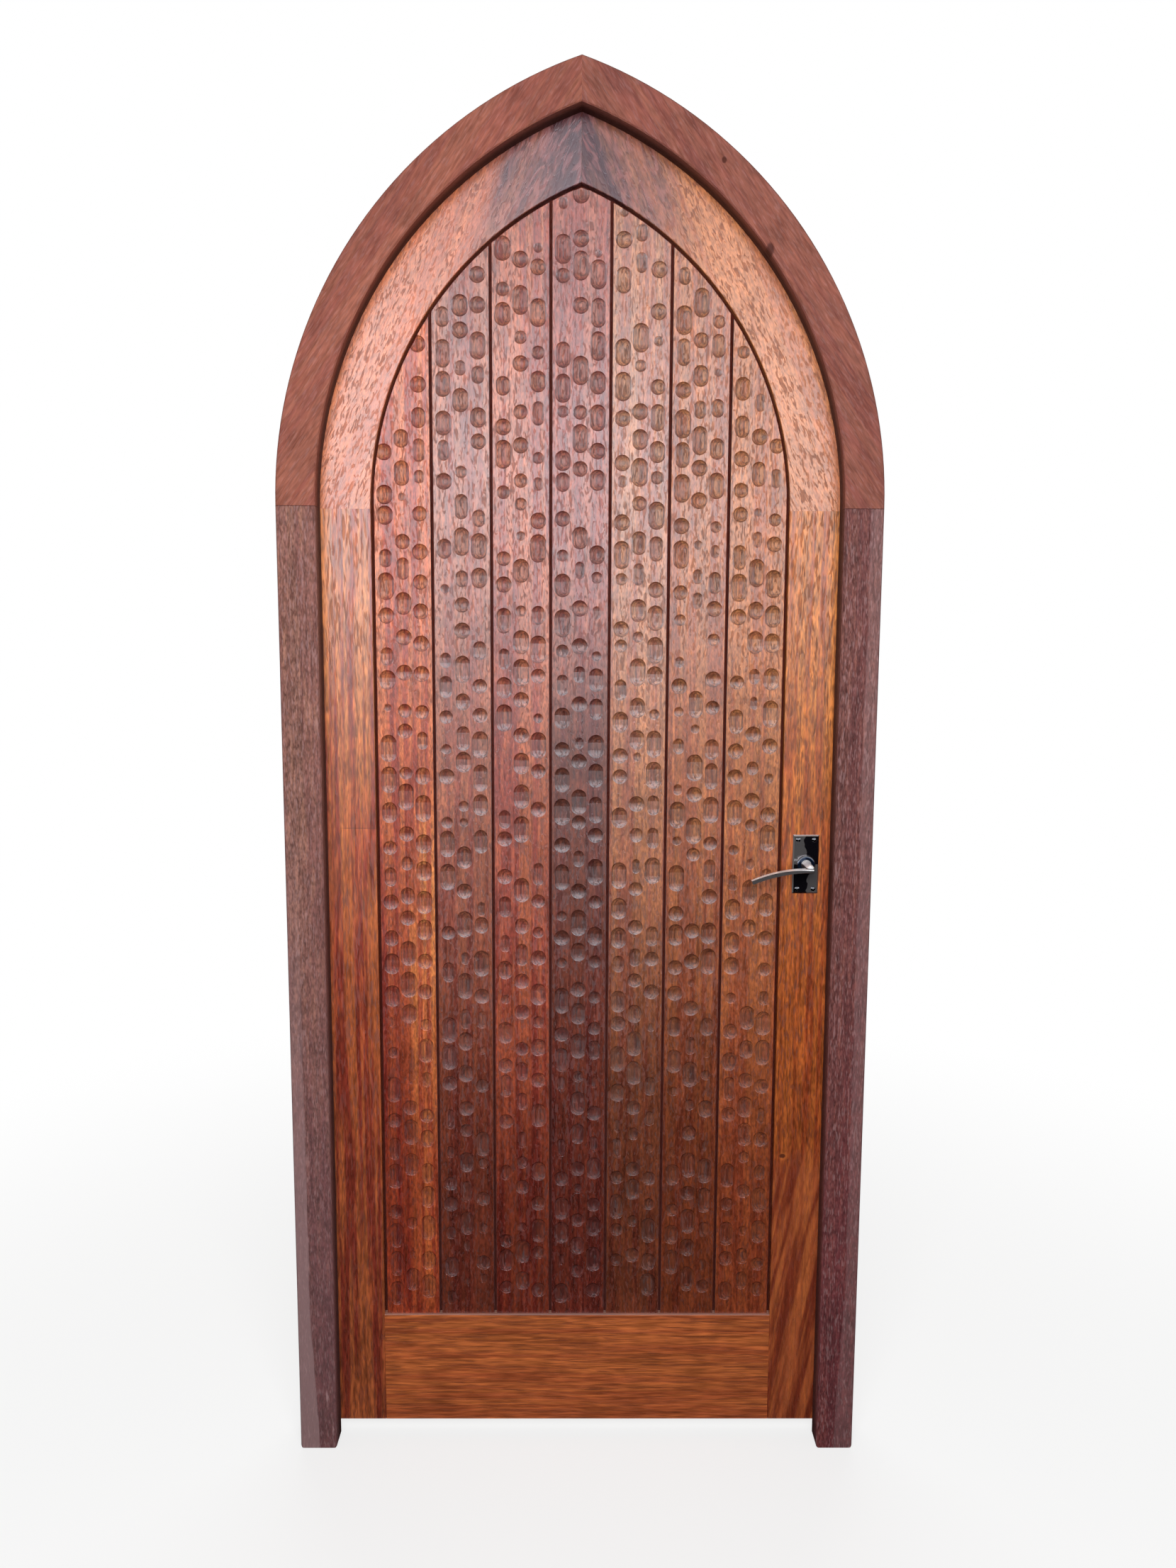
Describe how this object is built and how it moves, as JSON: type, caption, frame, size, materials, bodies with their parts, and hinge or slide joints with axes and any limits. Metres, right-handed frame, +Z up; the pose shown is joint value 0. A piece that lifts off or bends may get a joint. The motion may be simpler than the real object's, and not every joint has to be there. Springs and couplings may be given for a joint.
{
  "type": "wooden door with frame",
  "caption": "Pointed-arch hardwood plank door hung in its own rebated frame, with scooped dimples on the planks, butt hinges and a lever latch.",
  "frame": {"origin": "middle of the base at the height of the jambs' feet, on the mid-plane of the leaf's thickness", "axes": "+X to the lock side, right as seen from the front; +Y to the back, the way the leaf opens; +Z up"},
  "size_m": [1.016, 0.154, 2.407],
  "materials": {
    "frame_wood": "dry oiled hardwood, dusty at the outer edge",
    "leaf_wood": "satin varnished hardwood with ribbon grain",
    "plank_wood": "satin varnished hardwood, scooped with dimples",
    "joint_wood": "sawn, hidden in the joints",
    "hinge_steel": "brushed",
    "latch_steel": "plain zinc plated",
    "black_nickel": "polished black nickel"
  },
  "bodies": {
    "frame": {"left_jamb": "frame_wood", "right_jamb": "frame_wood", "left_head": "frame_wood", "right_head": "frame_wood", "left_frame_tenon": "joint_wood", "right_frame_tenon": "joint_wood", "frame_key": "joint_wood", "hinge_1_jamb_flap": "hinge_steel", "hinge_2_jamb_flap": "hinge_steel", "hinge_3_jamb_flap": "hinge_steel", "hinge_1_pin": "hinge_steel", "hinge_2_pin": "hinge_steel", "hinge_3_pin": "hinge_steel", "jamb_hinge_screws": "hinge_steel", "strike_plate": "latch_steel", "strike_screws": "latch_steel"},
    "leaf": {"hinge_stile": "leaf_wood", "lock_stile": "leaf_wood", "left_arched_rail": "leaf_wood", "right_arched_rail": "leaf_wood", "bottom_rail": "leaf_wood", "left_leaf_tenon": "joint_wood", "right_leaf_tenon": "joint_wood", "leaf_key": "joint_wood", "plank_1": "plank_wood", "plank_2": "plank_wood", "plank_3": "plank_wood", "plank_4": "plank_wood", "plank_5": "plank_wood", "plank_6": "plank_wood", "plank_7": "plank_wood", "hinge_1_door_flap": "hinge_steel", "hinge_2_door_flap": "hinge_steel", "hinge_3_door_flap": "hinge_steel", "door_hinge_screws": "hinge_steel", "front_plate": "black_nickel", "rear_plate": "black_nickel", "front_plate_screws": "black_nickel", "rear_plate_screws": "black_nickel", "latch_case": "latch_steel", "latch_forend": "latch_steel", "forend_screws": "latch_steel", "latch_spring": "latch_steel"},
    "lever_set": {"front_lever": "black_nickel", "rear_lever": "black_nickel", "spindle": "latch_steel", "latch_follower": "latch_steel"},
    "latch_bolt": {"latch_bolt": "latch_steel"}
  },
  "joints": [
    {"name": "leaf_swing", "type": "hinge", "parent": "frame", "child": "leaf", "pos_m": [-0.4585, 0.0283, 0.9], "axis": [0, 0, 1], "range_deg": [0, 110]},
    {"name": "lever_turn", "type": "hinge", "parent": "leaf", "child": "lever_set", "pos_m": [0.4, 0, 1.089], "axis": [0, -1, 0], "range_deg": [0, 45], "stiffness_Nm_per_rad": 1, "springref_deg": -17.19},
    {"name": "latch_slide", "type": "slide", "parent": "leaf", "child": "latch_bolt", "axis": [-1, 0, 0], "range_m": [0, 0.01], "deforming": ["latch_spring"]}
  ],
  "couplings": [
    {"joint": "latch_slide", "follows": "lever_turn", "m_per_rad": 0.0126}
  ]
}
